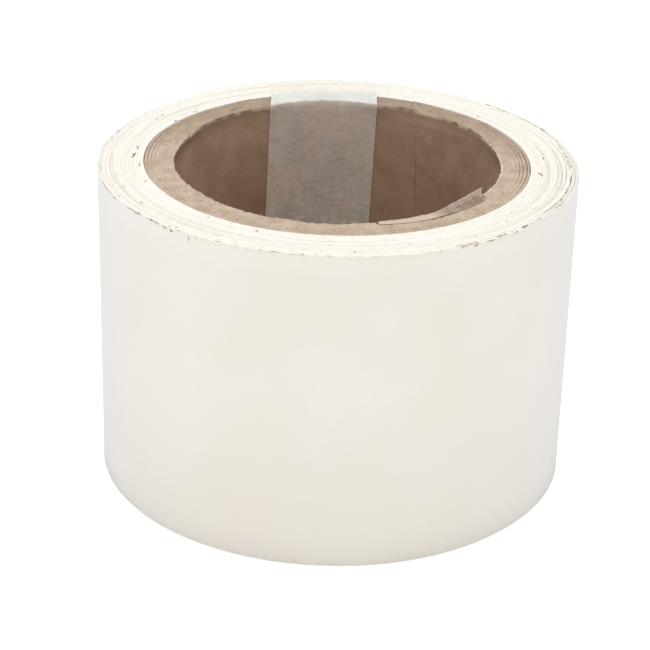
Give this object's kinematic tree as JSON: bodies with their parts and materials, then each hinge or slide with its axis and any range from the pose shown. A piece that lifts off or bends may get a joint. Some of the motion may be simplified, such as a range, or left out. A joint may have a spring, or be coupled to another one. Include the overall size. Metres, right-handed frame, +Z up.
{
  "type": "grip tape roll",
  "caption": "Short wide roll of off-white grip tape wound with its release liner on a thick laminated cardboard core, held by a clear strip over the rim; the loose ends peel open.",
  "frame": {"origin": "centre of the core's bore at the bottom end face", "axes": "+Z up the bore; +Y from the front to the rear, where the clear strip is; +X to the right seen from the front"},
  "size_m": [0.0746, 0.0745, 0.0521],
  "materials": {
    "kraft_board": "matt tan laminated board, fibrous where cut",
    "grip_tape": "cream, slightly tacky cut edges",
    "release_liner": "smooth satin off-white, silicone coated",
    "clear_film": "frosted clear adhesive film"
  },
  "bodies": {
    "roll": {"core_liner": "kraft_board", "core_ply_2": "kraft_board", "core_ply_3": "kraft_board", "core_ply_4": "kraft_board", "core_ply_5": "kraft_board", "core_ply_6": "kraft_board", "core_ply_7": "kraft_board", "core_cover_ply": "kraft_board", "grip_tape_winding": "grip_tape", "release_liner_winding": "release_liner", "clear_strip": "clear_film"},
    "tape_tail": {"grip_tape_tail": "grip_tape"},
    "liner_tail": {"release_liner_tail": "release_liner"},
    "strip_tab": {"clear_strip_pull_tab": "clear_film"},
    "liner_flap": {"torn_liner_flap": "kraft_board"}
  },
  "joints": [
    {"name": "tape_tail_lift", "type": "hinge", "parent": "roll", "child": "tape_tail", "pos_m": [-0.0131, 0.03486, 0.0255], "axis": [0, 0, -1], "range_deg": [0, 60]},
    {"name": "release_liner_peel", "type": "hinge", "parent": "tape_tail", "child": "liner_tail", "pos_m": [-0.0131, 0.03486, 0.0255], "axis": [0, 0, -1], "range_deg": [0, 60]},
    {"name": "strip_tab_peel", "type": "hinge", "parent": "roll", "child": "strip_tab", "pos_m": [-0.0024, 0.03737, 0.03705], "axis": [1, 0, 0], "range_deg": [0, 80]},
    {"name": "torn_flap_bend", "type": "hinge", "parent": "roll", "child": "liner_flap", "pos_m": [0.00593, -0.02473, 0.0505], "axis": [0, 0, 1], "range_deg": [0, 22]}
  ]
}
